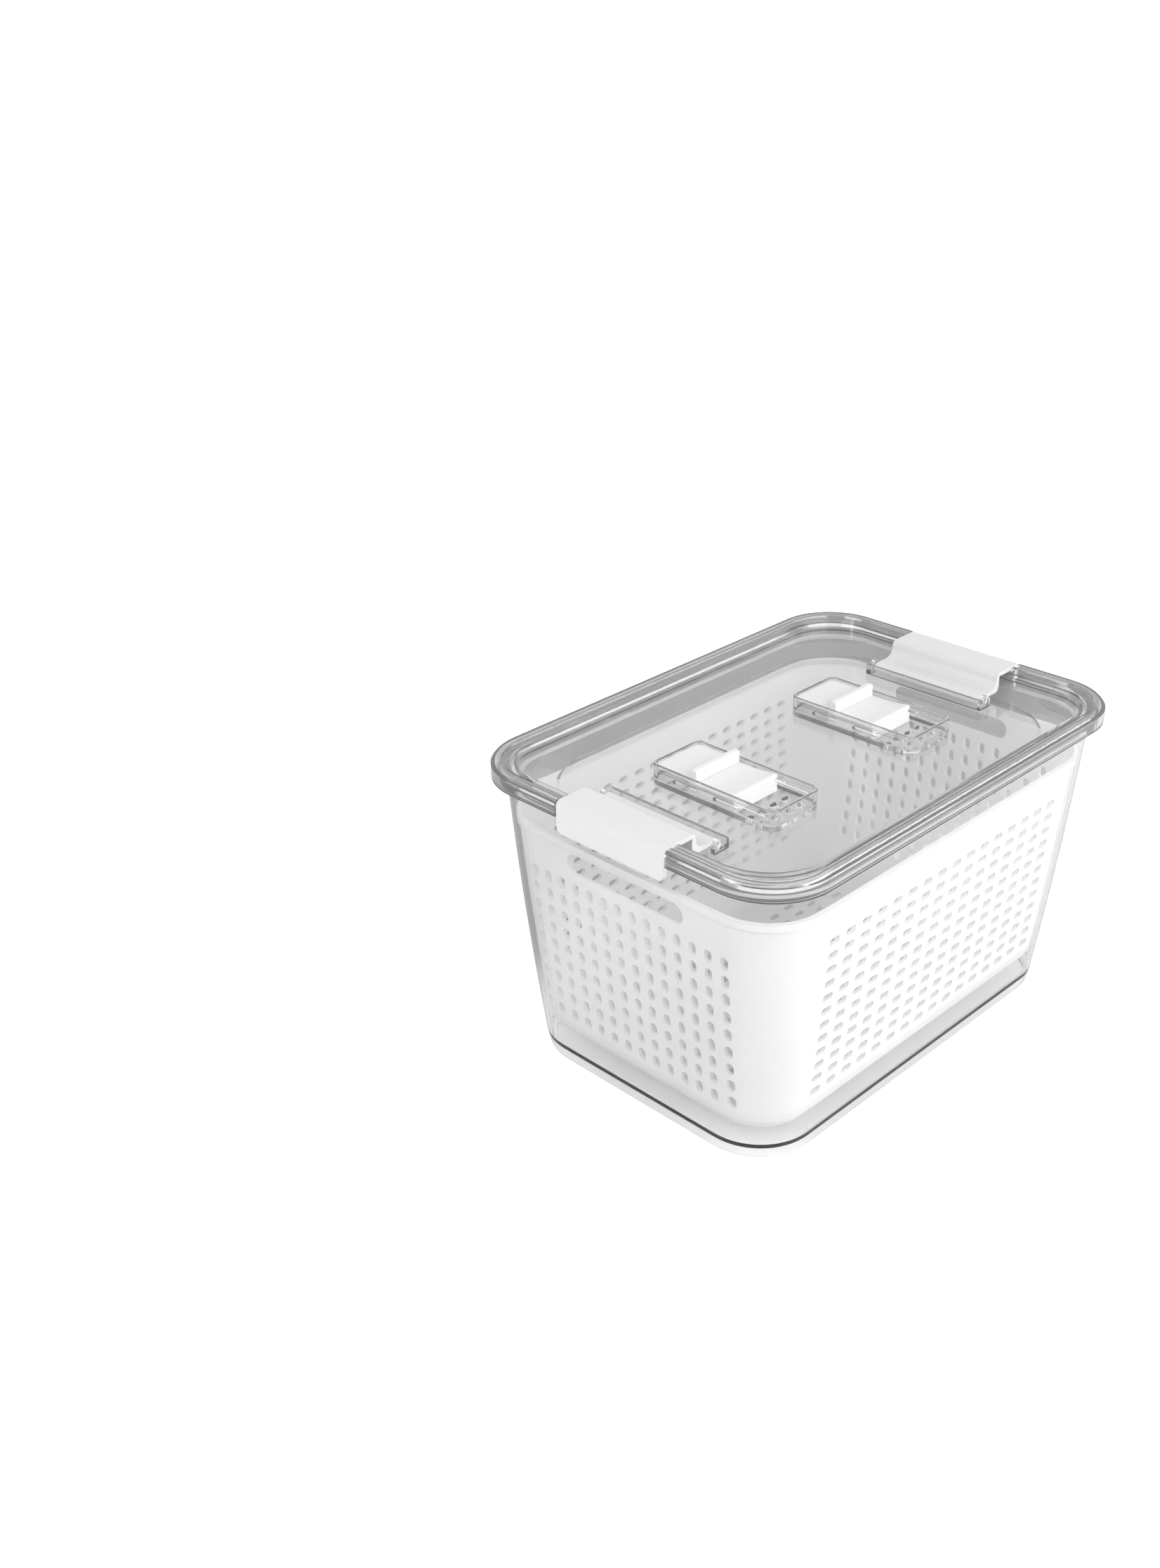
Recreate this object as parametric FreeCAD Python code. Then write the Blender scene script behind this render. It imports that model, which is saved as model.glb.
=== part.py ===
"""Fridge produce bin: clear container, white drain basket, clear vented lid with two clips.

Millimetres.  +X runs along the long side, +Z is up and the origin is the centre of the
foot, on the shelf.  The two clips sit at the short ends (-X is "left", +X is "right").
Every outline of the bin is a rounded rectangle whose width (Y) is its length (X) less
the same amount, so one length and one corner radius describe it.
"""
import FreeCAD, Part
import math
import os

V = FreeCAD.Vector

# ---- driving dimensions -------------------------------------------------------------
LENGTH_LESS_WIDTH = 73.0

LID_LENGTH = 250.0
LID_CORNER = 30.0
LID_TOP = 146.0
SKIRT_BOTTOM = 138.5
SKIRT_WALL = 1.8
RIM_BEVEL = 1.2
RIM_WIDTH = 8.0
RIM_LAND_BOTTOM = 141.1
RIM_CHANNEL_TOP = 144.2
RIM_LAND_LENGTH = 242.0
GROOVE_LENGTH = 241.0
GROOVE_WIDTH = 1.2
GROOVE_DEPTH = 0.8

PANEL_TOP = 133.5
PANEL_THICKNESS = 1.8
PANEL_LENGTH = 213.0
PANEL_CORNER = 38.0
TUB_WALL = 1.8
TUB_TOP_CORNER = 29.0
COVE_TOP = 137.5
COVE_LENGTH = 230.0
COVE_CORNER = 29.0

CONTAINER_WALL = 1.8
CONTAINER_TOP = 141.0
FLOOR_TOP = 8.2
FLOOR_BOTTOM = 5.2
FOOT_WALL = 3.0
BASE_LINE = 8.0
BASE_LENGTH = 220.4
BASE_CORNER = 28.0
WALL_FLARE = 0.2
WALL_BOW = 0.00035
CORNER_FLARE = 0.015
FOOT_PROFILE = ((0.0, 216.0, 27.0), (0.5, 217.6, 27.8), (1.5, 218.6, 28.0))
# Heights where the walls change slope a little, so that together they bow outwards.
WALL_BREAKS = (30.0, 52.0, 75.0, 98.0, 120.0)
FLANGE_LENGTH = 244.6
FLANGE_BOTTOM = 138.0
FLANGE_CLIP_LENGTH = 243.0

BASKET_BOTTOM = 11.0
BASKET_TOP = 123.0
BASKET_WALL = 1.8
BASKET_EDGE_RADIUS = 14.0
BASKET_EDGE_STEPS = 5
BASKET_GAP = 3.0
# These two lie between rows of holes, so that no hole crosses a change of slope.
BASKET_BREAKS = (52.1, 87.3)
BASKET_BEAD = 0.7
BASKET_BEAD_HEIGHT = 3.2
BASKET_FOOT_RADIUS = 4.5
BASKET_FOOT_CLEARANCE = 0.1

LONG_WALL_HOLE = (6.4, 3.3)
LONG_WALL_PITCH = (10.5, 6.95)
LONG_WALL_GRID = (16, 12)
END_WALL_HOLE = (6.0, 3.7)
END_WALL_PITCH = (8.3, 8.9)
END_WALL_GRID = (14, 9)
WALL_HOLES_LOW = 29.0
FLOOR_HOLE = (7.0, 3.6)
FLOOR_PITCH = (12.5, 8.5)
FLOOR_GRID = (13, 11)
HAND_SLOT = (66.0, 10.0)
HAND_SLOT_HEIGHT = 113.0

CLIP_WIDTH = 60.0
CLIP_PLATE = 2.1
CLIP_TOP = 146.3
CLIP_BOTTOM = 131.5
CLIP_LIP = 0.8
CLIP_LIP_HEIGHT = 2.6
CLIP_STEP_X = 106.0
HINGE_X = 94.5
HINGE_Z = 136.4
PIN_RADIUS = 1.5
PIN_CLEARANCE = 0.05
BARREL_RADIUS = 2.2
EAR_WIDTH = 2.2
EAR_RADIUS = 3.0
EAR_GAP = 0.5
RIDGE_X = 89.0
RIDGE_WALL = 1.6
RIDGE_TOP = 138.4
NOTCH_MARGIN = 0.7
NOTCH_FLOOR = 143.8
NOTCH_EDGE_X = 120.9
NOTCH_INNER_X = 106.4
CLIP_OUTER_ROUND = 2.8
CLIP_STEP_ROUND = 2.4
CLIP_SWEEP_ROUND = 4.6
CLIP_CORNER_ROUND = 3.0

VENT_X = 48.0
VENT_LENGTH = 70.0
VENT_WIDTH = 32.0
VENT_WALL = 1.6
VENT_CORNER = 5.0
VENT_TOP = 140.0
VENT_TOP_ROUND = 0.6
VENT_FLOOR = 131.0
VENT_HOLE = (5.0, 3.0)
VENT_HOLE_PITCH = (7.7, 7.0)
VENT_HOLE_GRID = (4, 2)
VENT_HOLES_Y = -19.5
VENT_WINDOW = (14.0, 2.0)
VENT_WINDOW_Z = 135.2
VENT_WINDOWS_Y = (-9.0, 14.0)
RAIL_BOTTOM = 136.3
RAIL_TOP = 137.1
RAIL_DEPTH = 1.2
RAIL_LENGTH = 60.0

SLIDER_GAP = 0.2
SLIDER_FRONT_Y = -12.0
SLIDER_TOE_Y = -12.4
SLIDER_REAR_Y = 12.8
SLIDER_LIP = 1.5
SLIDER_LIP_TOP = 139.2
SLIDER_FIN = 3.6
SLIDER_FIN_TOP = 143.4
SLIDER_PLATE_REAR_Y = 33.0
SLIDER_PLATE_BOTTOM = 138.0
SLIDER_PLATE_TOP = 139.0
SLIDER_SCOOP_LOW = 137.8
SLIDER_SCOOP_SAG = 0.6
SLIDER_FIN_ROUND = 0.9
SLIDER_EDGE_ROUND = 0.6
SLIDER_SIDE_GAP = 0.25

GASKET_BOTTOM = 134.4
GASKET_TOP = 137.0
GASKET_LENGTHS = (234.3, 236.1)
GASKET_CORNERS = (30.8, 28.0)

EPS = 0.5
TOUCH = 0.001


# ---- shape helpers ------------------------------------------------------------------
def rounded_wire(length, width, corner, z):
    """A rounded rectangle about the Z axis, drawn at height z."""
    x = length / 2
    y = width / 2
    k = corner * math.sqrt(0.5)
    edges = []
    for turn, (a, b) in enumerate(((x, y), (y, x), (x, y), (y, x))):
        rotate = FreeCAD.Rotation(V(0, 0, 1), 90 * turn)

        def place(px, py):
            point = rotate.multVec(V(px, py, 0))
            return V(point.x, point.y, z)

        edges.append(Part.makeLine(place(a, -b + corner), place(a, b - corner)))
        arc = Part.Arc(place(a, b - corner), place(a - corner + k, b - corner + k),
                       place(a - corner, b))
        edges.append(arc.toShape())
    return Part.Wire(edges)


def bin_wire(length, corner, z):
    """An outline of the bin at height z."""
    return rounded_wire(length, length - LENGTH_LESS_WIDTH, corner, z)


def bin_loft(sections):
    """Solid with straight walls through (z, length, corner) outlines."""
    wires = [bin_wire(length, corner, z) for z, length, corner in sections]
    return Part.makeLoft(wires, True, True)


def bin_block(length, corner, low, high):
    """Upright solid with one outline from low to high."""
    return Part.Face(bin_wire(length, corner, low)).extrude(V(0, 0, high - low))


def box(low, high):
    """Box between two opposite corners."""
    size = [b - a for a, b in zip(low, high)]
    return Part.makeBox(size[0], size[1], size[2], V(*low))


def slot(centre, along, across, length, width, depth):
    """Cutter with round ends: `length` along one axis, `width` across it, through `depth`.

    The cutter is centred on `centre` and runs along the third axis.
    """
    reach = length / 2 - width / 2
    through = along.cross(across)
    base = centre - through * (depth / 2)
    side = across * (width / 2)
    tip = along * (length / 2)
    right = base + along * reach
    left = base - along * reach
    edges = [Part.makeLine(left - side, right - side),
             Part.Arc(right - side, base + tip, right + side).toShape(),
             Part.makeLine(right + side, left + side),
             Part.Arc(left + side, base - tip, left - side).toShape()]
    return Part.Face(Part.Wire(edges)).extrude(through * depth)


def rounded_face(along, across, centre, length, width, corner):
    """Rounded rectangle about any centre, `length` along one axis and `width` across it."""
    flat = Part.Face(rounded_wire(length, width, corner, 0))
    up = along.cross(across)
    turn = FreeCAD.Matrix(along.x, across.x, up.x, centre.x, along.y, across.y, up.y, centre.y,
                          along.z, across.z, up.z, centre.z, 0, 0, 0, 1)
    return flat.transformed(turn)


def cross_edges(shape, x, z):
    """The shape's edges that run along Y at the given X and Z."""
    def at_spot(vertex):
        return abs(vertex.X - x) < TOUCH and abs(vertex.Z - z) < TOUCH
    return [edge for edge in shape.Edges if all(at_spot(vertex) for vertex in edge.Vertexes)]


def along_edges(shape, y, z):
    """The shape's edges that run along X at the given Y and Z."""
    def at_spot(vertex):
        return abs(vertex.Y - y) < TOUCH and abs(vertex.Z - z) < TOUCH
    return [edge for edge in shape.Edges if all(at_spot(vertex) for vertex in edge.Vertexes)]


def level_edges(shape, z):
    """The shape's edges that lie at height Z."""
    return [edge for edge in shape.Edges
            if all(abs(vertex.Z - z) < TOUCH for vertex in edge.Vertexes)]


def grid(columns, rows, pitch_a, pitch_b):
    """Offsets of a straight grid, centred in the first direction, rising in the second."""
    for i in range(columns):
        for j in range(rows):
            yield (i - (columns - 1) / 2) * pitch_a, j * pitch_b


def mirrored(shape):
    """The same piece at the other short end."""
    return shape.mirror(V(0, 0, 0), V(1, 0, 0))


def wall_section(z, gap=0.0):
    """(z, length, corner) of the container's outer face at height z, moved inward by gap."""
    up = z - BASE_LINE
    length = BASE_LENGTH + WALL_FLARE * up - WALL_BOW * up * up
    corner = BASE_CORNER + CORNER_FLARE * up
    return z, length - 2 * gap, corner - gap


# ---- container ----------------------------------------------------------------------
def make_container():
    """Clear tub: foot ring, thick floor, gently bowed walls and a flange at the top."""
    heights = (BASE_LINE,) + WALL_BREAKS + (CONTAINER_TOP,)
    outside = bin_loft(FOOT_PROFILE + tuple(wall_section(z) for z in heights))
    flange = bin_block(FLANGE_LENGTH, LID_CORNER - 2, FLANGE_BOTTOM, CONTAINER_TOP)
    half = FLANGE_LENGTH / 2
    reach = CLIP_WIDTH / 2 + NOTCH_MARGIN
    for side in (-1, 1):
        xs = sorted((side * FLANGE_CLIP_LENGTH / 2, side * (half + EPS)))
        flange = flange.cut(box((xs[0], -reach, FLANGE_BOTTOM - EPS),
                                (xs[1], reach, CONTAINER_TOP + EPS)))
    heights = (FLOOR_TOP,) + WALL_BREAKS + (CONTAINER_TOP,)
    hollow = bin_loft([wall_section(z, CONTAINER_WALL) for z in heights])
    foot_length, foot_corner = FOOT_PROFILE[-1][1:]
    under = bin_block(foot_length - 2 * FOOT_WALL, foot_corner - FOOT_WALL, 0, FLOOR_BOTTOM)
    return outside.fuse(flange).cut(hollow).cut(under).removeSplitter()


# ---- basket -------------------------------------------------------------------------
def basket_sections(wall):
    """Outlines of the basket surface that lies `wall` inside its outer face."""
    centre_z = BASKET_BOTTOM + BASKET_EDGE_RADIUS
    low_length, low_corner = wall_section(centre_z, BASKET_GAP)[1:]
    flat = low_length - 2 * BASKET_EDGE_RADIUS
    flat_corner = low_corner - BASKET_EDGE_RADIUS
    radius = BASKET_EDGE_RADIUS - wall
    sections = []
    for step in range(BASKET_EDGE_STEPS + 1):
        angle = math.radians(85.0 * step / BASKET_EDGE_STEPS)
        out = radius * math.sin(angle)
        z = centre_z - radius * math.cos(angle)
        sections.append((z, flat + 2 * out, flat_corner + out))
    heights = BASKET_BREAKS + (BASKET_TOP,)
    return sections + [wall_section(z, BASKET_GAP + wall) for z in heights]


def long_wall_holes():
    """Cutters for the straight grid of holes through both long walls."""
    cutters = []
    for along, up in grid(*LONG_WALL_GRID, *LONG_WALL_PITCH):
        centre = V(along, 0, WALL_HOLES_LOW + up)
        cutters.append(slot(centre, V(1, 0, 0), V(0, 0, 1), *LONG_WALL_HOLE, LID_LENGTH))
    return cutters


def end_wall_holes():
    """Cutters for the straight grid of holes and the hand slot through both end walls."""
    centre = V(0, 0, HAND_SLOT_HEIGHT)
    cutters = [slot(centre, V(0, 1, 0), V(0, 0, 1), *HAND_SLOT, LID_LENGTH)]
    for along, up in grid(*END_WALL_GRID, *END_WALL_PITCH):
        centre = V(0, along, WALL_HOLES_LOW + up)
        cutters.append(slot(centre, V(0, 0, 1), V(0, 1, 0), *END_WALL_HOLE, LID_LENGTH))
    return cutters


def floor_holes():
    """Cutters for the drain slots in the floor."""
    columns, rows = FLOOR_GRID
    first = -(rows - 1) / 2 * FLOOR_PITCH[1]
    cutters = []
    for along, across in grid(columns, rows, *FLOOR_PITCH):
        centre = V(along, first + across, BASKET_BOTTOM)
        cutters.append(slot(centre, V(1, 0, 0), V(0, 1, 0), *FLOOR_HOLE, 4 * BASKET_WALL))
    return cutters


def make_basket():
    """White colander basket that stands on four low feet inside the container."""
    bead_length, bead_corner = wall_section(BASKET_TOP, BASKET_GAP - BASKET_BEAD)[1:]
    bead = bin_block(bead_length, bead_corner, BASKET_TOP - BASKET_BEAD_HEIGHT, BASKET_TOP)
    body = bin_loft(basket_sections(0.0)).fuse(bead)
    foot_low = FLOOR_TOP + BASKET_FOOT_CLEARANCE
    foot_x = (FLOOR_GRID[0] + 1) / 2 * FLOOR_PITCH[0]
    foot_y = (FLOOR_GRID[1] + 1) / 2 * FLOOR_PITCH[1]
    for x in (-foot_x, foot_x):
        for y in (-foot_y, foot_y):
            height = BASKET_BOTTOM + EPS - foot_low
            body = body.fuse(Part.makeCylinder(BASKET_FOOT_RADIUS, height, V(x, y, foot_low)))
    body = body.cut(bin_loft(basket_sections(BASKET_WALL)))
    for cutters in (long_wall_holes(), end_wall_holes(), floor_holes()):
        body = body.cut(Part.makeCompound(cutters))
    return body


# ---- lid ----------------------------------------------------------------------------
def make_lid_shell():
    """Rim, skirt, sealing land, sunken tub wall and panel."""
    rim = bin_loft(((SKIRT_BOTTOM, LID_LENGTH, LID_CORNER),
                    (LID_TOP - RIM_BEVEL, LID_LENGTH, LID_CORNER),
                    (LID_TOP, LID_LENGTH - 2 * RIM_BEVEL, LID_CORNER - RIM_BEVEL)))
    skirt_inside = LID_LENGTH - 2 * SKIRT_WALL
    skirt_corner = LID_CORNER - SKIRT_WALL
    below = bin_block(skirt_inside, skirt_corner, SKIRT_BOTTOM - EPS, RIM_LAND_BOTTOM)
    land_corner = skirt_corner - (skirt_inside - RIM_LAND_LENGTH) / 2
    channel = bin_block(skirt_inside, skirt_corner, SKIRT_BOTTOM - EPS, RIM_CHANNEL_TOP)
    land = bin_block(RIM_LAND_LENGTH, land_corner, SKIRT_BOTTOM - EPS, RIM_CHANNEL_TOP)
    rim = rim.cut(below).cut(channel.cut(land))
    groove_corner = LID_CORNER - (LID_LENGTH - GROOVE_LENGTH) / 2
    groove_low = LID_TOP - GROOVE_DEPTH
    groove = bin_block(GROOVE_LENGTH, groove_corner, groove_low, LID_TOP + EPS)
    groove = groove.cut(bin_block(GROOVE_LENGTH - 2 * GROOVE_WIDTH, groove_corner - GROOVE_WIDTH,
                                  groove_low, LID_TOP + EPS))
    tub_top = LID_LENGTH - 2 * RIM_WIDTH
    faces = ((PANEL_TOP, PANEL_LENGTH, PANEL_CORNER), (COVE_TOP, COVE_LENGTH, COVE_CORNER),
             (LID_TOP, tub_top, TUB_TOP_CORNER))
    inside = bin_loft(faces)
    outside = bin_loft([(z - PANEL_THICKNESS, length + 2 * TUB_WALL, corner + TUB_WALL)
                        for z, length, corner in faces])
    return rim.cut(groove).fuse(outside).cut(inside)


def hinge_bracket():
    """Ridge and two bored ears that hold one clip (right-hand end)."""
    inner = CLIP_WIDTH / 2 + EAR_GAP
    outer = inner + EAR_WIDTH
    low = PANEL_TOP - EPS
    bracket = box((RIDGE_X, -outer, low), (RIDGE_X + RIDGE_WALL, outer, RIDGE_TOP))
    for y in (-outer, inner):
        foot = box((RIDGE_X, y, low), (HINGE_X + EAR_RADIUS, y + EAR_WIDTH, HINGE_Z))
        head = Part.makeCylinder(EAR_RADIUS, EAR_WIDTH, V(HINGE_X, y, HINGE_Z), V(0, 1, 0))
        bracket = bracket.fuse([foot, head])
    bore = Part.makeCylinder(PIN_RADIUS + PIN_CLEARANCE, 2 * outer, V(HINGE_X, -outer, HINGE_Z),
                             V(0, 1, 0))
    return bracket.cut(bore)


def clip_notch():
    """Space in the rim and skirt where one clip lies (right-hand end)."""
    reach = CLIP_WIDTH / 2 + NOTCH_MARGIN
    over = LID_LENGTH / 2 + EPS
    top = box((NOTCH_INNER_X, -reach, NOTCH_FLOOR), (over, reach, LID_TOP + EPS))
    edge = box((NOTCH_EDGE_X, -reach, SKIRT_BOTTOM - EPS), (over, reach, LID_TOP + EPS))
    return top.fuse(edge)


def vent_block(margin, low, high):
    """Upright block with the vent's outline moved inward by margin, centred on X = 0."""
    wire = rounded_wire(VENT_WIDTH - 2 * margin, VENT_LENGTH - 2 * margin,
                        VENT_CORNER - margin, low)
    return Part.Face(wire).extrude(V(0, 0, high - low))


def vent_frame():
    """Raised frame on a sunk floor, with windows and two guide rails, centred on X = 0."""
    inner_width = VENT_WIDTH - 2 * VENT_WALL
    frame = vent_block(0, VENT_FLOOR - PANEL_THICKNESS, VENT_TOP)
    frame = frame.cut(vent_block(VENT_WALL, VENT_FLOOR, VENT_TOP + EPS))
    frame = frame.makeFillet(VENT_TOP_ROUND, level_edges(frame, VENT_TOP))
    for side in (-1, 1):
        xs = sorted((side * (inner_width / 2 - RAIL_DEPTH), side * (inner_width / 2 + EPS)))
        frame = frame.fuse(box((xs[0], -RAIL_LENGTH / 2, RAIL_BOTTOM),
                               (xs[1], RAIL_LENGTH / 2, RAIL_TOP)))
    for y in VENT_WINDOWS_Y:
        centre = V(0, y, VENT_WINDOW_Z)
        window = slot(centre, V(0, 1, 0), V(0, 0, 1), *VENT_WINDOW, VENT_WIDTH + 2 * EPS)
        frame = frame.cut(window)
    return frame


def vent_holes():
    """Cutters for the air holes at the front end of one vent, centred on X = 0."""
    cutters = []
    for along, back in grid(*VENT_HOLE_GRID, *VENT_HOLE_PITCH):
        centre = V(along, VENT_HOLES_Y - back, VENT_FLOOR)
        cutters.append(slot(centre, V(1, 0, 0), V(0, 1, 0), *VENT_HOLE, 4 * PANEL_THICKNESS))
    return cutters


def make_lid():
    """Clear lid with hinge brackets at both ends and two vents."""
    bracket = hinge_bracket()
    notch = clip_notch()
    lid = make_lid_shell().fuse([bracket, mirrored(bracket)])
    cutters = [notch, mirrored(notch)]
    for x in (-VENT_X, VENT_X):
        well = vent_block(VENT_WALL, VENT_FLOOR - 2 * PANEL_THICKNESS, LID_TOP)
        well.translate(V(x, 0, 0))
        frame = vent_frame()
        frame.translate(V(x, 0, 0))
        lid = lid.cut(well).fuse(frame)
        for hole in vent_holes():
            hole.translate(V(x, 0, 0))
            cutters.append(hole)
    return lid.cut(Part.makeCompound(cutters)).removeSplitter()


# ---- gasket -------------------------------------------------------------------------
def make_gasket():
    """Silicone ring round the tub wall, under the rim."""
    (inner, outer), (inner_corner, outer_corner) = GASKET_LENGTHS, GASKET_CORNERS
    ring = bin_block(outer, outer_corner, GASKET_BOTTOM, GASKET_TOP)
    return ring.cut(bin_block(inner, inner_corner, GASKET_BOTTOM, GASKET_TOP))


# ---- clip ---------------------------------------------------------------------------
def make_clip():
    """Right-hand clip: barrel and pins, low plate, step, plate over the rim, outer lip."""
    outer_x = LID_LENGTH / 2
    plate_x = outer_x - CLIP_PLATE
    low_top = HINGE_Z + BARREL_RADIUS
    low_under = low_top - CLIP_PLATE
    top_under = CLIP_TOP - CLIP_PLATE
    outline = [(HINGE_X, low_top), (CLIP_STEP_X, low_top), (CLIP_STEP_X, CLIP_TOP),
               (outer_x, CLIP_TOP), (outer_x, CLIP_BOTTOM), (plate_x, CLIP_BOTTOM),
               (plate_x - CLIP_LIP, CLIP_BOTTOM + CLIP_LIP),
               (plate_x - CLIP_LIP, CLIP_BOTTOM + CLIP_LIP_HEIGHT - CLIP_LIP),
               (plate_x, CLIP_BOTTOM + CLIP_LIP_HEIGHT), (plate_x, top_under),
               (CLIP_STEP_X + CLIP_PLATE, top_under), (CLIP_STEP_X + CLIP_PLATE, low_under),
               (HINGE_X, low_under)]
    half = CLIP_WIDTH / 2
    points = [V(x, -half, z) for x, z in outline]
    body = Part.Face(Part.makePolygon(points + points[:1])).extrude(V(0, CLIP_WIDTH, 0))
    rounds = (((outer_x, CLIP_TOP), CLIP_OUTER_ROUND), ((CLIP_STEP_X, CLIP_TOP), CLIP_STEP_ROUND),
              ((plate_x, top_under), CLIP_OUTER_ROUND - CLIP_PLATE),
              ((CLIP_STEP_X, low_top), CLIP_SWEEP_ROUND),
              ((CLIP_STEP_X + CLIP_PLATE, low_under), CLIP_STEP_ROUND))
    for (x, z), radius in rounds:
        body = body.makeFillet(radius, cross_edges(body, x, z))
    tall = CLIP_TOP - CLIP_BOTTOM + CLIP_CORNER_ROUND
    middle = V(0, 0, CLIP_BOTTOM + tall / 2)
    window = rounded_face(V(0, 1, 0), V(0, 0, 1), middle, CLIP_WIDTH, tall, CLIP_CORNER_ROUND)
    body = body.common(window.extrude(V(LID_LENGTH, 0, 0)))
    barrel = Part.makeCylinder(BARREL_RADIUS, CLIP_WIDTH, V(HINGE_X, -half, HINGE_Z), V(0, 1, 0))
    pin_reach = half + EAR_GAP + EAR_WIDTH - NOTCH_MARGIN
    pins = Part.makeCylinder(PIN_RADIUS, 2 * pin_reach, V(HINGE_X, -pin_reach, HINGE_Z),
                             V(0, 1, 0))
    return body.fuse([barrel, pins]).removeSplitter()


# ---- vent slider --------------------------------------------------------------------
def make_slider():
    """Vent slider, centred on X = 0: toe face, curved finger scoop, fin, cover plate behind."""
    low = VENT_FLOOR + SLIDER_GAP
    half = VENT_WIDTH / 2 - VENT_WALL - SLIDER_SIDE_GAP
    fin_y = SLIDER_REAR_Y - SLIDER_FIN
    lip_y = SLIDER_FRONT_Y + SLIDER_LIP
    outline = [(fin_y, SLIDER_SCOOP_LOW), (fin_y, SLIDER_FIN_TOP),
               (SLIDER_REAR_Y, SLIDER_FIN_TOP), (SLIDER_REAR_Y, low), (SLIDER_TOE_Y, low),
               (SLIDER_FRONT_Y, SLIDER_LIP_TOP), (lip_y, SLIDER_LIP_TOP)]
    points = [V(-half, y, z) for y, z in outline]
    lowest = V(-half, (lip_y + fin_y) / 2,
               (SLIDER_LIP_TOP + SLIDER_SCOOP_LOW) / 2 - SLIDER_SCOOP_SAG)
    scoop = Part.Arc(points[-1], lowest, points[0]).toShape()
    sides = [Part.makeLine(a, b) for a, b in zip(points, points[1:])]
    body = Part.Face(Part.Wire(sides + [scoop])).extrude(V(2 * half, 0, 0))
    for y, z, radius in ((fin_y, SLIDER_FIN_TOP, SLIDER_FIN_ROUND),
                         (SLIDER_REAR_Y, SLIDER_FIN_TOP, SLIDER_FIN_ROUND),
                         (SLIDER_FRONT_Y, SLIDER_LIP_TOP, SLIDER_EDGE_ROUND)):
        body = body.makeFillet(radius, along_edges(body, y, z))
    groove = half - RAIL_DEPTH
    for side in (-1, 1):
        xs = sorted((side * groove, side * (half + EPS)))
        body = body.cut(box((xs[0], SLIDER_TOE_Y - EPS, RAIL_BOTTOM - SLIDER_GAP),
                            (xs[1], SLIDER_REAR_Y + EPS, RAIL_TOP + SLIDER_GAP)))
    margin = VENT_LENGTH / 2 - SLIDER_PLATE_REAR_Y
    plate = vent_block(margin, SLIDER_PLATE_BOTTOM, SLIDER_PLATE_TOP)
    ahead = box((-half, -VENT_LENGTH, SLIDER_PLATE_BOTTOM - EPS),
                (half, SLIDER_REAR_Y - SLIDER_FIN / 2, SLIDER_PLATE_TOP + EPS))
    within = box((-half, -VENT_LENGTH, SLIDER_PLATE_BOTTOM), (half, VENT_LENGTH, SLIDER_PLATE_TOP))
    return body.fuse(plate.common(within).cut(ahead)).removeSplitter()


def make_all():
    """Every piece by its node name."""
    clip = make_clip()
    slider = make_slider()
    left_slider = slider.copy()
    left_slider.translate(V(-VENT_X, 0, 0))
    right_slider = slider.copy()
    right_slider.translate(V(VENT_X, 0, 0))
    return {"container": make_container(), "basket": make_basket(), "lid": make_lid(),
            "gasket": make_gasket(), "clip_left": mirrored(clip), "clip_right": clip,
            "vent_slider_left": left_slider, "vent_slider_right": right_slider}


os.makedirs("parts", exist_ok=True)
for name, shape in make_all().items():
    shape.exportStep("parts/%s.step" % name)
    print(name, "valid" if shape.isValid() else "NOT VALID", "solids", len(shape.Solids))
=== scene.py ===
"""Looks of the fridge bin: clear moulded plastic, white satin basket, white clips and shutters.

Lengths are in metres.  The frame's nodes keep their shapes and places; each gets a procedural
finish, and a pale floor, soft lights, a backdrop and a camera are put round them.
"""

import bpy
import math
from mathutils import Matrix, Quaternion, Vector

# ---- camera: angles in degrees, place in metres, lens in millimetres ------------------
CAMERA_AZIMUTH = -43.98
CAMERA_ELEVATION = 27.21
CAMERA_ROLL = -1.41
CAMERA_LOCATION = (-0.54545, -0.42038, 0.47042)
CAMERA_LENS = 39.04
CAMERA_NEAR = 0.01

# ---- lamps ----------------------------------------------------------------------------
SOFTBOXES = (
    # name, place, width, height, power in watts, shows in reflections
    ("key_front", (0.30, -1.15, 0.48), 2.6, 1.4, 28.5, False),
    ("overhead", (0.0, 0.10, 1.30), 1.0, 0.8, 0.8, True),
    ("end_fill", (-1.10, 0.20, 0.80), 0.9, 0.9, 8.8, True),
    ("rear_fill", (0.60, 1.20, 0.55), 1.4, 1.0, 4.0, False),
)
LIGHT_TARGET = (0.0, 0.0, 0.08)

# ---- backdrop: brightness that each kind of light path meets beyond the bin -----------
BACKDROP_WHITE = 1.02
THROUGH_LIGHT = 0.30
SURROUND_LOW = 0.22
SURROUND_HIGH = 0.33
SURROUND_HIGH_FROM = 0.6
BACK_GLOW = 0.70
BACK_DIRECTION = (0.64, 0.61, 0.47)
BACK_FROM = 0.45
BACK_TO = 0.95

# ---- floor ----------------------------------------------------------------------------
FLOOR_SIZE = 6.0
FLOOR_WHITE = (0.86, 0.86, 0.86)
FLOOR_SHADE = (0.84, 0.84, 0.84)
FLOOR_ROUGHNESS = 0.9
FLOOR_MOTTLE = 3.0
FLOOR_LIFT = 0.76
FLOOR_LIFT_THROUGH = 0.16
# Painted shade: seen through clear plastic, the floor turns grey from one distance behind the
# bin to another.
FLOOR_PAINTED_SHADE = 0.30
BEHIND_DIRECTION = (0.20, 0.98, 0.0)
BEHIND_FROM = 0.06
BEHIND_TO = 0.12

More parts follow.
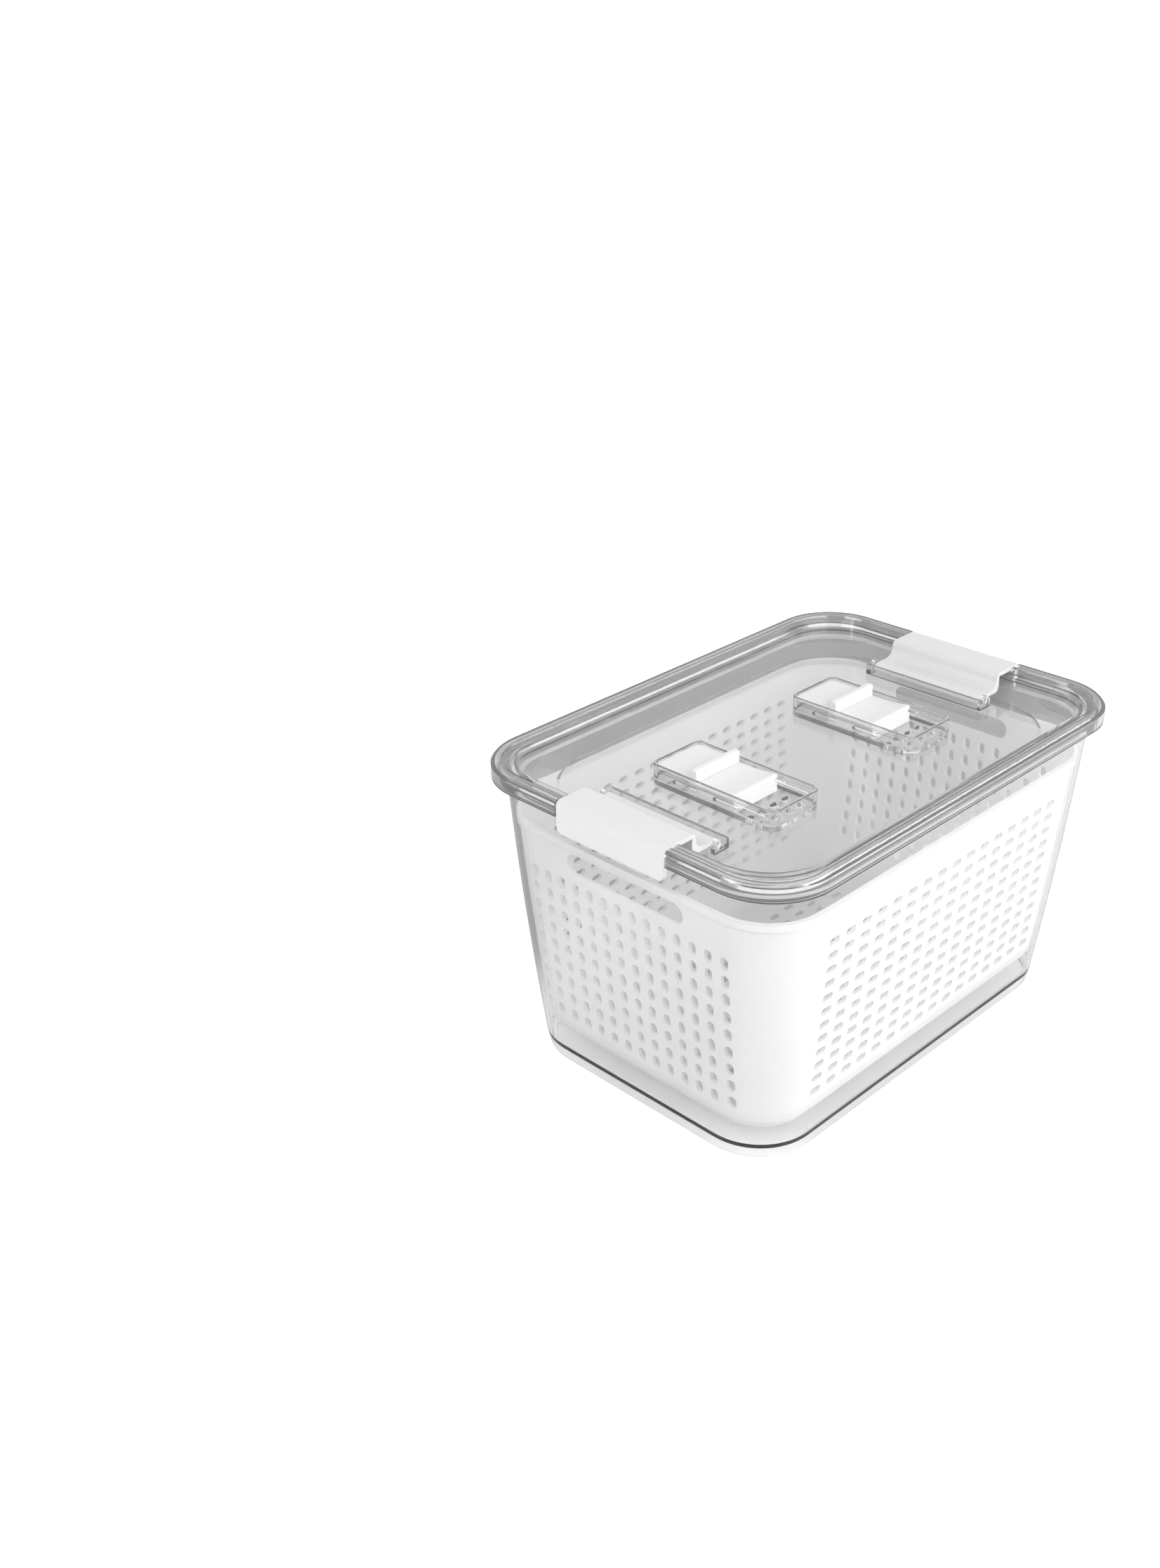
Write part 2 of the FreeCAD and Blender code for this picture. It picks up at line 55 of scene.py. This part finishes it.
# ---- noise: object space scales in features per metre, and the part of its range used --
NOISE_LOW = 0.3
NOISE_HIGH = 0.7
CLEAR_SCALES = {"tint": 14.0, "gloss": 60.0, "ripple": 22.0, "haze": 30.0}
WHITE_SCALES = {"tint": 35.0, "gloss": 180.0, "grain": 2600.0, "glow": 25.0}
SILICONE_SCALES = {"tint": 90.0, "gloss": 400.0, "dust": 1500.0}

# ---- clear plastic --------------------------------------------------------------------
CLEAR_IOR = 1.49
CLEAR_TINT = (0.972, 0.974, 0.974)
LID_TINT = (0.852, 0.853, 0.853)
ABSORB_COLOUR = (0.64, 0.65, 0.65)
ABSORB_DENSITY = 12.0
MILK_COLOUR = (0.86, 0.86, 0.86)
PASSING_TINT = (0.97, 0.97, 0.97)
# Painted shade: colour and roughness of the dark lines painted where shadow falls in the gaps.
SHADOW_LINE_COLOUR = (0.06, 0.06, 0.06)
SHADOW_LINE_ROUGHNESS = 0.6
# Painted shade: heights of the cut edges whose gap shadows are painted as dark lines, and how
# dark they look: the lid's skirt and hinge ridges, the flange.
LID_SHADOW_LINES = ((0.1385, 1.0), (0.1384, 0.5))
FLANGE_SHADOW_LINES = ((0.1380, 1.0),)
EDGE_TOLERANCE = 0.00004
LEVEL_SLOPE = 0.9

# ---- white plastic --------------------------------------------------------------------
WHITE_IOR = 1.47
BASKET_WHITE = (0.87, 0.87, 0.865)
CLIP_WHITE = (0.82, 0.82, 0.82)
SHUTTER_WHITE = (0.89, 0.89, 0.89)
COAT_ROUGHNESS = 0.12
SKIN_SHARE = 0.12
SKIN_DEPTH = (0.0016, 0.0015, 0.0014)
EDGE_ROUND = 0.0004
EDGE_SAMPLES = 4

# ---- silicone -------------------------------------------------------------------------
SILICONE_IOR = 1.41
SILICONE_WHITE = (0.86, 0.86, 0.86)
SILICONE_CLEARNESS = 0.55
SILICONE_SOFTNESS = 0.3
SILICONE_DEPTH = (0.002, 0.002, 0.002)
SILICONE_GLOSS = (0.42, 0.6)
SILICONE_DUST = 0.00004


# ---- node helpers ---------------------------------------------------------------------
def new_material(name):
    """An empty node material: itself, its node tree and its output node."""
    material = bpy.data.materials.new(name)
    material.use_nodes = True
    material.node_tree.nodes.clear()
    output = material.node_tree.nodes.new("ShaderNodeOutputMaterial")
    return material, material.node_tree, output


def add(tree, kind, **values):
    """A node of one kind with its inputs set by name."""
    node = tree.nodes.new(kind)
    for key, value in values.items():
        node.inputs[key.replace("_", " ")].default_value = value
    return node


def maths(tree, operation, *values):
    """The result of a maths node whose inputs are numbers or sockets."""
    node = tree.nodes.new("ShaderNodeMath")
    node.operation = operation
    for slot, value in zip(node.inputs, values):
        if isinstance(value, float):
            slot.default_value = value
        else:
            tree.links.new(value, slot)
    return node.outputs["Value"]


def noise(tree, scale, detail=3.0):
    """Noise in object space, so that it keeps its scale on every piece."""
    coordinates = tree.nodes.new("ShaderNodeTexCoord")
    pattern = add(tree, "ShaderNodeTexNoise", Scale=scale, Detail=detail, Roughness=0.55)
    tree.links.new(coordinates.outputs["Object"], pattern.inputs["Vector"])
    return pattern.outputs["Fac"]


def ranged(tree, value, source, target):
    """A value carried over from one (low, high) range to another."""
    mapping = add(tree, "ShaderNodeMapRange", From_Min=source[0], From_Max=source[1],
                  To_Min=target[0], To_Max=target[1])
    tree.links.new(value, mapping.inputs["Value"])
    return mapping.outputs["Result"]


def uneven(tree, scale, value, part):
    """A number that noise moves up and down by a part of itself."""
    target = (value * (1.0 - part), value * (1.0 + part))
    return ranged(tree, noise(tree, scale), (NOISE_LOW, NOISE_HIGH), target)


def shade_between(tree, scale, first, second):
    """A colour that noise varies softly between two."""
    ramp = tree.nodes.new("ShaderNodeValToRGB")
    for element, position, colour in zip(ramp.color_ramp.elements, (NOISE_LOW, NOISE_HIGH),
                                         (first, second)):
        element.position = position
        element.color = (*colour, 1.0)
    tree.links.new(noise(tree, scale), ramp.inputs["Fac"])
    return ramp.outputs["Color"]


def mottled(tree, scale, colour, part):
    """A colour that noise darkens by up to a part of itself."""
    darker = tuple(channel * (1.0 - part) for channel in colour)
    return shade_between(tree, scale, colour, darker)


def bumped(tree, value, height, normal=None):
    """Normals disturbed by a noise value of the given height."""
    bump = add(tree, "ShaderNodeBump", Strength=1.0, Distance=height)
    tree.links.new(value, bump.inputs["Height"])
    if normal is not None:
        tree.links.new(normal, bump.inputs["Normal"])
    return bump.outputs["Normal"]


def ramp_along(tree, source, direction, low, high):
    """0 to 1 as a texture coordinate goes from low to high along a direction."""
    coordinates = tree.nodes.new("ShaderNodeTexCoord")
    along = tree.nodes.new("ShaderNodeVectorMath")
    along.operation = "DOT_PRODUCT"
    along.inputs[1].default_value = direction
    tree.links.new(coordinates.outputs[source], along.inputs[0])
    ramp = add(tree, "ShaderNodeMapRange", From_Min=low, From_Max=high)
    ramp.interpolation_type = "SMOOTHSTEP"
    tree.links.new(along.outputs["Value"], ramp.inputs["Value"])
    return ramp.outputs["Result"]


def upward(tree, source):
    """The Z part of a texture coordinate."""
    coordinates = tree.nodes.new("ShaderNodeTexCoord")
    split = tree.nodes.new("ShaderNodeSeparateXYZ")
    tree.links.new(coordinates.outputs[source], split.inputs["Vector"])
    return split.outputs["Z"]


def mixed(tree, share, first, second):
    """A mix of two shaders; `share` is the part of the second one."""
    node = tree.nodes.new("ShaderNodeMixShader")
    tree.links.new(share, node.inputs["Fac"])
    tree.links.new(first, node.inputs[1])
    tree.links.new(second, node.inputs[2])
    return node.outputs["Shader"]


# ---- materials ------------------------------------------------------------------------
def painted_shadow_lines(tree, edges):
    """How dark a point's painted shadow line is: the (height, strength) pairs count on level
    faces.
    """
    height = upward(tree, "Object")
    slope = maths(tree, "ABSOLUTE", upward(tree, "Normal"))
    level = maths(tree, "GREATER_THAN", slope, LEVEL_SLOPE)
    total = 0.0
    for edge_height, strength in edges:
        here = maths(tree, "COMPARE", height, edge_height, EDGE_TOLERANCE)
        total = maths(tree, "MULTIPLY_ADD", here, strength, total)
    return maths(tree, "MULTIPLY", total, level)


def clear_plastic(name, tint, roughness, ripple, haze, edges):
    """Clear moulded plastic: refracts, absorbs a little, is faintly milky, lets lamps through.

    Painted shade: its cut edges carry matte dark lines that stand for the shadow in the gaps at
    the skirt, hinge ridges and flange.
    """
    material, tree, output = new_material(name)
    glass = add(tree, "ShaderNodeBsdfPrincipled", IOR=CLEAR_IOR, Transmission_Weight=1.0)
    tree.links.new(mottled(tree, CLEAR_SCALES["tint"], tint, 0.015), glass.inputs["Base Color"])
    tree.links.new(uneven(tree, CLEAR_SCALES["gloss"], roughness, 0.4),
                   glass.inputs["Roughness"])
    waves = noise(tree, CLEAR_SCALES["ripple"], detail=1.0)
    tree.links.new(bumped(tree, waves, ripple), glass.inputs["Normal"])
    milk = add(tree, "ShaderNodeBsdfDiffuse", Color=(*MILK_COLOUR, 1.0))
    body = mixed(tree, uneven(tree, CLEAR_SCALES["haze"], haze, 0.1),
                 glass.outputs["BSDF"], milk.outputs["BSDF"])
    # Painted shadow: a dark matte shader mixed in along the gap lines at the skirt, hinge
    # ridges and flange.
    shadow_line = add(tree, "ShaderNodeBsdfDiffuse", Color=(*SHADOW_LINE_COLOUR, 1.0),
               Roughness=SHADOW_LINE_ROUGHNESS)
    body = mixed(tree, painted_shadow_lines(tree, edges), body, shadow_line.outputs["BSDF"])
    passing = add(tree, "ShaderNodeBsdfTransparent", Color=(*PASSING_TINT, 1.0))
    path = tree.nodes.new("ShaderNodeLightPath")
    surface = mixed(tree, path.outputs["Is Shadow Ray"], body, passing.outputs["BSDF"])
    tree.links.new(surface, output.inputs["Surface"])
    absorb = add(tree, "ShaderNodeVolumeAbsorption", Color=(*ABSORB_COLOUR, 1.0),
                 Density=ABSORB_DENSITY)
    tree.links.new(absorb.outputs["Volume"], output.inputs["Volume"])
    return material


def white_plastic(name, colour, roughness, coat, grain, translucence, painted_glow=0.0):
    """White moulded plastic with softened edges, faint mottling and fine texture.

    Its faint emission is painted light: a glow that stands for light soaking through thin
    walls.
    """
    material, tree, output = new_material(name)
    # Painted light: the emission makes the plastic glow faintly, standing for light soaking
    # through thin walls.
    body = add(tree, "ShaderNodeBsdfPrincipled", IOR=WHITE_IOR, Coat_Weight=coat,
               Coat_Roughness=COAT_ROUGHNESS, Subsurface_Weight=SKIN_SHARE,
               Subsurface_Radius=SKIN_DEPTH, Subsurface_Scale=1.0,
               Emission_Color=(*colour, 1.0), Emission_Strength=painted_glow)
    tree.links.new(mottled(tree, WHITE_SCALES["tint"], colour, 0.012),
                   body.inputs["Base Color"])
    tree.links.new(uneven(tree, WHITE_SCALES["gloss"], roughness, 0.04),
                   body.inputs["Roughness"])
    edge = add(tree, "ShaderNodeBevel", Radius=EDGE_ROUND)
    edge.samples = EDGE_SAMPLES
    texture = noise(tree, WHITE_SCALES["grain"], detail=2.0)
    tree.links.new(bumped(tree, texture, grain, edge.outputs["Normal"]), body.inputs["Normal"])
    glow = add(tree, "ShaderNodeBsdfTranslucent", Color=(*colour, 1.0))
    surface = mixed(tree, uneven(tree, WHITE_SCALES["glow"], translucence, 0.1),
                    body.outputs["BSDF"], glow.outputs["BSDF"])
    tree.links.new(surface, output.inputs["Surface"])
    return material


def silicone(name):
    """Translucent matte silicone with a dusty, uneven surface."""
    material, tree, output = new_material(name)
    body = add(tree, "ShaderNodeBsdfPrincipled", IOR=SILICONE_IOR,
               Transmission_Weight=SILICONE_CLEARNESS, Subsurface_Weight=SILICONE_SOFTNESS,
               Subsurface_Radius=SILICONE_DEPTH)
    tree.links.new(mottled(tree, SILICONE_SCALES["tint"], SILICONE_WHITE, 0.05),
                   body.inputs["Base Color"])
    gloss = ranged(tree, noise(tree, SILICONE_SCALES["gloss"]), (NOISE_LOW, NOISE_HIGH),
                   SILICONE_GLOSS)
    tree.links.new(gloss, body.inputs["Roughness"])
    dust = noise(tree, SILICONE_SCALES["dust"])
    tree.links.new(bumped(tree, dust, SILICONE_DUST), body.inputs["Normal"])
    tree.links.new(body.outputs["BSDF"], output.inputs["Surface"])
    return material


def floor_white(name):
    """Plain pale floor, lifted to paper white where the camera sees it directly.

    Seen through clear plastic it is painted grey behind the bin, a painted shade that stands
    for shadow cast by something behind the bin, so that drain holes show against it.
    """
    material, tree, output = new_material(name)
    body = add(tree, "ShaderNodeBsdfPrincipled", Roughness=FLOOR_ROUGHNESS)
    tree.links.new(shade_between(tree, FLOOR_MOTTLE, FLOOR_WHITE, FLOOR_SHADE),
                   body.inputs["Base Color"])
    path = tree.nodes.new("ShaderNodeLightPath")
    passed = path.outputs["Is Transmission Ray"]
    lift_through = maths(tree, "MULTIPLY", passed, FLOOR_LIFT_THROUGH)
    lift = maths(tree, "MULTIPLY_ADD", path.outputs["Is Camera Ray"], FLOOR_LIFT, lift_through)
    glow = tree.nodes.new("ShaderNodeEmission")
    tree.links.new(lift, glow.inputs["Strength"])
    lifted = tree.nodes.new("ShaderNodeAddShader")
    tree.links.new(body.outputs["BSDF"], lifted.inputs[0])
    tree.links.new(glow.outputs["Emission"], lifted.inputs[1])
    # Painted shade: behind the bin, rays through clear plastic meet a flat grey emission that
    # stands for shadow cast there.
    grey = add(tree, "ShaderNodeEmission", Strength=FLOOR_PAINTED_SHADE)
    behind = ramp_along(tree, "Object", BEHIND_DIRECTION, BEHIND_FROM, BEHIND_TO)
    share = maths(tree, "MULTIPLY", passed, behind)
    surface = mixed(tree, share, lifted.outputs["Shader"], grey.outputs["Emission"])
    tree.links.new(surface, output.inputs["Surface"])
    return material


# ---- stage ----------------------------------------------------------------------------
def backdrop_light(tree, strength):
    """A white background shader whose strength is a number or a socket."""
    node = tree.nodes.new("ShaderNodeBackground")
    node.inputs["Color"].default_value = (1.0, 1.0, 1.0, 1.0)
    if isinstance(strength, float):
        node.inputs["Strength"].default_value = strength
    else:
        tree.links.new(strength, node.inputs["Strength"])
    return node.outputs["Background"]


def surround():
    """White backdrop for the camera, and a flat dimmer one for light through clear plastic.

    Other light meets a studio that darkens low down; reflections also see a glow at the back.
    """
    world = bpy.data.worlds.new("surround")
    world.use_nodes = True
    tree = world.node_tree
    tree.nodes.clear()
    output = tree.nodes.new("ShaderNodeOutputWorld")
    height = ranged(tree, upward(tree, "Generated"), (0.0, SURROUND_HIGH_FROM),
                    (SURROUND_LOW, SURROUND_HIGH))
    lobe = ramp_along(tree, "Generated", BACK_DIRECTION, BACK_FROM, BACK_TO)
    path = tree.nodes.new("ShaderNodeLightPath")
    mirrored_only = maths(tree, "MULTIPLY_ADD", path.outputs["Is Diffuse Ray"], -BACK_GLOW,
                          BACK_GLOW)
    studio = backdrop_light(tree, maths(tree, "MULTIPLY_ADD", lobe, mirrored_only, height))
    through = backdrop_light(tree, THROUGH_LIGHT)
    indirect = mixed(tree, path.outputs["Is Transmission Ray"], studio, through)
    backdrop = backdrop_light(tree, BACKDROP_WHITE)
    seen = mixed(tree, path.outputs["Is Camera Ray"], indirect, backdrop)
    tree.links.new(seen, output.inputs["Surface"])
    bpy.context.scene.world = world


def make_floor():
    """A large pale sheet at the height the bin stands on."""
    bpy.ops.mesh.primitive_plane_add(size=FLOOR_SIZE)
    floor = bpy.context.object
    floor.name = "floor"
    floor.data.materials.append(floor_white("floor_white"))


def make_lights():
    """Soft studio boxes round the bin, turned to face it."""
    for name, place, width, height, power, reflected in SOFTBOXES:
        data = bpy.data.lights.new(name, "AREA")
        data.shape = "RECTANGLE"
        data.size = width
        data.size_y = height
        data.energy = power
        lamp = bpy.data.objects.new(name, data)
        lamp.location = place
        lamp.visible_glossy = reflected
        lamp.rotation_mode = "QUATERNION"
        towards = Vector(LIGHT_TARGET) - Vector(place)
        lamp.rotation_quaternion = towards.to_track_quat("-Z", "Y")
        bpy.context.scene.collection.objects.link(lamp)


def make_camera():
    """Camera at the viewing angle of a product shot, turned slightly about its axis."""
    azimuth = math.radians(CAMERA_AZIMUTH)
    elevation = math.radians(CAMERA_ELEVATION)
    back = Vector((math.sin(azimuth) * math.cos(elevation),
                   -math.cos(azimuth) * math.cos(elevation), math.sin(elevation)))
    data = bpy.data.cameras.new("camera")
    data.lens = CAMERA_LENS
    data.clip_start = CAMERA_NEAR
    camera = bpy.data.objects.new("camera", data)
    camera.location = CAMERA_LOCATION
    camera.rotation_mode = "QUATERNION"
    roll = Quaternion((0, 0, 1), math.radians(CAMERA_ROLL))
    camera.rotation_quaternion = (-back).to_track_quat("-Z", "Y") @ roll
    bpy.context.scene.collection.objects.link(camera)
    bpy.context.scene.camera = camera


# ---- scene ----------------------------------------------------------------------------
def make_finishes():
    """One finish for each kind of piece; roughness, ripple and grain are per finish."""
    return {
        "container": clear_plastic("container_clear", CLEAR_TINT, roughness=0.02,
                                   ripple=0.00002, haze=0.01, edges=FLANGE_SHADOW_LINES),
        "lid": clear_plastic("lid_clear", LID_TINT, roughness=0.035,
                             ripple=0.00002, haze=0.055, edges=LID_SHADOW_LINES),
        # Painted light: the basket's faint emission glow.
        "basket": white_plastic("basket_white", BASKET_WHITE, roughness=0.42, coat=0.0,
                                grain=0.000012, translucence=0.30, painted_glow=0.045),
        "gasket": silicone("silicone_ring"),
        "clip": white_plastic("clip_white", CLIP_WHITE, roughness=0.26, coat=0.25,
                              grain=0.000006, translucence=0.04),
        "vent_slider": white_plastic("shutter_white", SHUTTER_WHITE, roughness=0.24,
                                     coat=0.25, grain=0.000006, translucence=0.04),
    }


def paint(nodes, finishes):
    """Gives every CAD node the finish of its kind; a left and a right piece share one."""
    for name, node in nodes.items():
        kind = name.removesuffix("_left").removesuffix("_right")
        for slot in node.material_slots:
            slot.material = finishes[kind]


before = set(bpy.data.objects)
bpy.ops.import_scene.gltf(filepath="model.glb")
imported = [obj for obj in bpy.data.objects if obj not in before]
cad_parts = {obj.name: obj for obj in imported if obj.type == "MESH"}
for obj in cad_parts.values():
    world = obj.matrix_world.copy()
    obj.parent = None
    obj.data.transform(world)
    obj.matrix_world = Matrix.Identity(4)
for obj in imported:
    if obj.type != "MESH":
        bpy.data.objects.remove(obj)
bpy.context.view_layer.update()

paint(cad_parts, make_finishes())
make_floor()
make_lights()
surround()
make_camera()
bpy.context.scene.view_settings.view_transform = "Standard"
